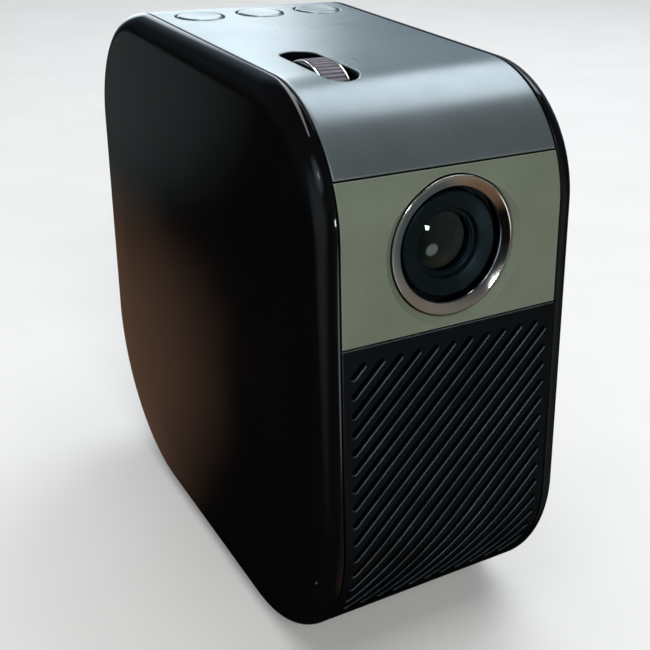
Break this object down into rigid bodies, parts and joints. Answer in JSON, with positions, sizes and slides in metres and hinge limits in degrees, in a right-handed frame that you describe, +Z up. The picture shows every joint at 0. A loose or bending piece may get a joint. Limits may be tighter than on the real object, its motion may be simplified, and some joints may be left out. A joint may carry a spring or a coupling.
{
  "type": "home projector",
  "caption": "Upright home projector with glossy side covers, a wrapped top band, a focus wheel, a recessed lens in a chrome ring and a slotted front grille.",
  "frame": {"origin": "on the surface it stands on, under the middle of its bounding box", "axes": "+Z up, the lens faces -Y, +X is to the right as seen from in front of the lens side looking along +Y"},
  "size_m": [0.073, 0.1537, 0.153],
  "materials": {
    "cover": "piano black, polished moulding",
    "band": "satin silver grey",
    "button": "satin silver grey, a shade darker than the band",
    "lens_panel": "satin olive grey",
    "grille": "black, fine moulded texture",
    "casing": "black, fine moulded texture",
    "trim_ring": "polished chrome",
    "foot": "dull",
    "screw": "zinc plated",
    "insert": "machined",
    "wheel_hub": "polished chrome",
    "wheel_tyre": "ribbed grip",
    "axle": "machined",
    "sheet": "pressed sheet",
    "lens_black": "matt black, light absorbing",
    "glass": "coated optical glass",
    "engine": "black, glass filled",
    "board": "solder resist",
    "red_lamp": "lamp package",
    "green_lamp": "lamp package",
    "blue_lamp": "lamp package",
    "heat_sink": "extruded",
    "battery": "shrink wrap",
    "cone": "pressed paper",
    "socket_shell": "nickel plated",
    "socket_black": "moulded",
    "ir": "dark red, transparent to infrared"
  },
  "bodies": {
    "casing": {"left_side_cover": "cover", "right_side_cover": "cover", "top_band": "band", "lens_panel": "lens_panel", "front_grille": "grille", "rear_panel": "casing", "bottom_plate": "casing", "lens_trim_ring": "trim_ring", "foot_front_left": "foot", "foot_front_right": "foot", "foot_rear_left": "foot", "foot_rear_right": "foot", "base_screw_front_left": "screw", "base_screw_front_right": "screw", "base_screw_rear_left": "screw", "base_screw_rear_right": "screw", "tripod_insert": "insert", "focus_bracket": "sheet", "inner_frame": "sheet", "speaker_basket": "sheet", "speaker_magnet": "sheet", "lens_guide": "lens_black", "light_engine_housing": "engine", "fan_frame": "engine", "mirror_chip_board": "board", "main_board": "board", "button_board": "board", "led_module_red": "red_lamp", "led_module_green": "green_lamp", "led_module_blue": "blue_lamp", "heat_sink": "heat_sink", "battery_pack": "battery", "speaker_cone": "cone", "hdmi_socket": "socket_shell", "usb_socket": "socket_shell", "dc_socket": "socket_black", "audio_socket": "socket_black", "ir_window": "ir"},
    "focus_wheel": {"focus_wheel_hub": "wheel_hub", "focus_wheel_tyre": "wheel_tyre", "focus_axle": "axle"},
    "focus_lens": {"lens_barrel": "lens_black", "focus_rack": "lens_black", "front_lens": "glass", "rear_lens": "glass"},
    "fan": {"fan_rotor": "engine"},
    "button_left": {"top_button_left": "button"},
    "button_middle": {"top_button_middle": "button"},
    "button_right": {"top_button_right": "button"}
  },
  "joints": [
    {"name": "focus_turn", "type": "hinge", "parent": "casing", "child": "focus_wheel", "pos_m": [-0.0155, -0.0329, 0.139], "axis": [1, 0, 0], "range_deg": [-60, 60]},
    {"name": "focus_slide", "type": "slide", "parent": "casing", "child": "focus_lens", "axis": [0, -0.9978, 0.0665], "range_m": [-0.0027, 0.0027]},
    {"name": "fan_spin", "type": "hinge", "parent": "casing", "child": "fan", "pos_m": [0, 0.0689, 0.091], "axis": [0, 1, 0], "continuous": true},
    {"name": "press_left", "type": "slide", "parent": "casing", "child": "button_left", "axis": [0, 0, -1], "range_m": [0, 0.0008], "stiffness_N_per_m": 400, "springref_m": -0.0004},
    {"name": "press_middle", "type": "slide", "parent": "casing", "child": "button_middle", "axis": [0, 0, -1], "range_m": [0, 0.0008], "stiffness_N_per_m": 400, "springref_m": -0.0004},
    {"name": "press_right", "type": "slide", "parent": "casing", "child": "button_right", "axis": [0, 0, -1], "range_m": [0, 0.0008], "stiffness_N_per_m": 400, "springref_m": -0.0004}
  ],
  "couplings": [
    {"joint": "focus_slide", "follows": "focus_turn", "m_per_rad": -0.0025}
  ]
}
